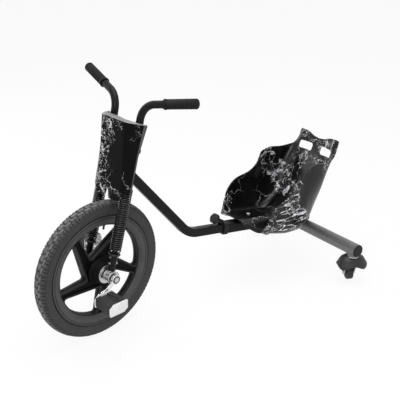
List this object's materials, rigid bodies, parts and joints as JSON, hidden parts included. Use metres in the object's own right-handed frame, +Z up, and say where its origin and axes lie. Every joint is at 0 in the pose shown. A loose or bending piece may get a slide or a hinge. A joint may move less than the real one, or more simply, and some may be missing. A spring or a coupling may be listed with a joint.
{
  "type": "drift scooter",
  "caption": "Child's ride-on drift scooter: a pedalled front wheel in a raked fork, a bent square main tube, and a sliding bucket seat carriage on two rear casters.",
  "frame": {"origin": "centre of the footprint box, on the ground under the tyre and the caster wheels", "axes": "+X to the rider's left, -Y to the front, +Z up"},
  "size_m": [0.5278, 1.0412, 0.7247],
  "materials": {
    "black_paint": "satin black paint",
    "black_plastic": "satin moulded plastic",
    "gloss_black_plastic": "gloss moulded plastic",
    "rubber": "matt rubber",
    "grip_foam": "matt foam rubber",
    "zinc_plate": "dull zinc plate",
    "chrome": "bright plate",
    "pale_plastic": "pale satin plastic"
  },
  "bodies": {
    "frame": {"main_tube": "black_paint", "head_tube": "black_paint", "lower_headset_cup": "zinc_plate", "upper_headset_cup": "zinc_plate"},
    "fork": {"steerer_tube": "zinc_plate", "steerer_nut": "zinc_plate", "lower_crown": "black_paint", "upper_crown": "black_paint", "shield": "gloss_black_plastic", "lower_shield_screw": "black_paint", "upper_shield_screw": "black_paint", "left_fork_leg": "black_paint", "right_fork_leg": "black_paint", "left_spring": "black_paint", "right_spring": "black_paint", "left_spring_collar": "black_plastic", "right_spring_collar": "black_plastic", "left_handlebar": "black_paint", "right_handlebar": "black_paint", "left_grip": "grip_foam", "right_grip": "grip_foam", "left_axle_carrier": "zinc_plate", "right_axle_carrier": "zinc_plate", "left_wheel_bearing": "chrome", "right_wheel_bearing": "chrome", "left_lower_carrier_bolt": "zinc_plate", "right_lower_carrier_bolt": "zinc_plate", "left_upper_carrier_bolt": "zinc_plate", "right_upper_carrier_bolt": "zinc_plate"},
    "wheel_and_cranks": {"front_wheel": "black_plastic", "tyre": "rubber", "valve_stem": "rubber", "crank_axle": "zinc_plate", "left_hub_flange": "zinc_plate", "right_hub_flange": "zinc_plate", "left_crank": "chrome", "right_crank": "chrome", "left_pedal_spindle": "zinc_plate", "right_pedal_spindle": "zinc_plate"},
    "left_pedal": {"left_pedal_cage": "pale_plastic", "left_pedal_tread": "rubber"},
    "right_pedal": {"right_pedal_cage": "pale_plastic", "right_pedal_tread": "rubber"},
    "carriage": {"sleeve": "black_paint", "sleeve_collar": "black_plastic", "seat": "gloss_black_plastic", "seat_bracket": "black_paint", "front_seat_bolt": "zinc_plate", "rear_seat_bolt": "zinc_plate", "rear_cross_tube": "black_paint"},
    "knob": {"clamp_knob": "black_plastic"},
    "left_caster": {"left_caster_fork": "zinc_plate", "left_caster_hood": "gloss_black_plastic", "left_caster_pin": "zinc_plate"},
    "right_caster": {"right_caster_fork": "zinc_plate", "right_caster_hood": "gloss_black_plastic", "right_caster_pin": "zinc_plate"},
    "left_caster_roller": {"left_caster_wheel": "rubber"},
    "right_caster_roller": {"right_caster_wheel": "rubber"}
  },
  "joints": [
    {"name": "steering", "type": "hinge", "parent": "frame", "child": "fork", "pos_m": [0, -0.2968, 0.19697], "axis": [0, 0.2639, 0.9646], "range_deg": [-53, 37]},
    {"name": "front_wheel_spin", "type": "hinge", "parent": "fork", "child": "wheel_and_cranks", "pos_m": [0.00321, -0.31887, 0.20301], "axis": [0.9903, 0.1342, -0.0367], "continuous": true},
    {"name": "left_pedal_spin", "type": "hinge", "parent": "wheel_and_cranks", "child": "left_pedal", "pos_m": [0.00907, -0.37097, 0.1704], "axis": [0.9903, 0.1342, -0.0367], "continuous": true},
    {"name": "right_pedal_spin", "type": "hinge", "parent": "wheel_and_cranks", "child": "right_pedal", "pos_m": [-0.00264, -0.26676, 0.23562], "axis": [0.9903, 0.1342, -0.0367], "continuous": true},
    {"name": "carriage_slide", "type": "slide", "parent": "frame", "child": "carriage", "axis": [0, 0.9905, -0.1374], "range_m": [-0.05, 0.12]},
    {"name": "knob_turn", "type": "hinge", "parent": "carriage", "child": "knob", "pos_m": [0, 0.1477, 0.20136], "axis": [0, -0.81, 0.5864], "range_deg": [-360, 360]},
    {"name": "left_caster_swivel", "type": "hinge", "parent": "carriage", "child": "left_caster", "pos_m": [0.23, 0.46477, 0.09825], "axis": [0, 0, 1], "continuous": true},
    {"name": "right_caster_swivel", "type": "hinge", "parent": "carriage", "child": "right_caster", "pos_m": [-0.23, 0.46477, 0.09825], "axis": [0, 0, 1], "continuous": true},
    {"name": "left_caster_spin", "type": "hinge", "parent": "left_caster", "child": "left_caster_roller", "pos_m": [0.20351, 0.47885, 0.02407], "axis": [0.4695, 0.8829, 0], "continuous": true},
    {"name": "right_caster_spin", "type": "hinge", "parent": "right_caster", "child": "right_caster_roller", "pos_m": [-0.20351, 0.47885, 0.02407], "axis": [0.4695, -0.8829, 0], "continuous": true}
  ]
}
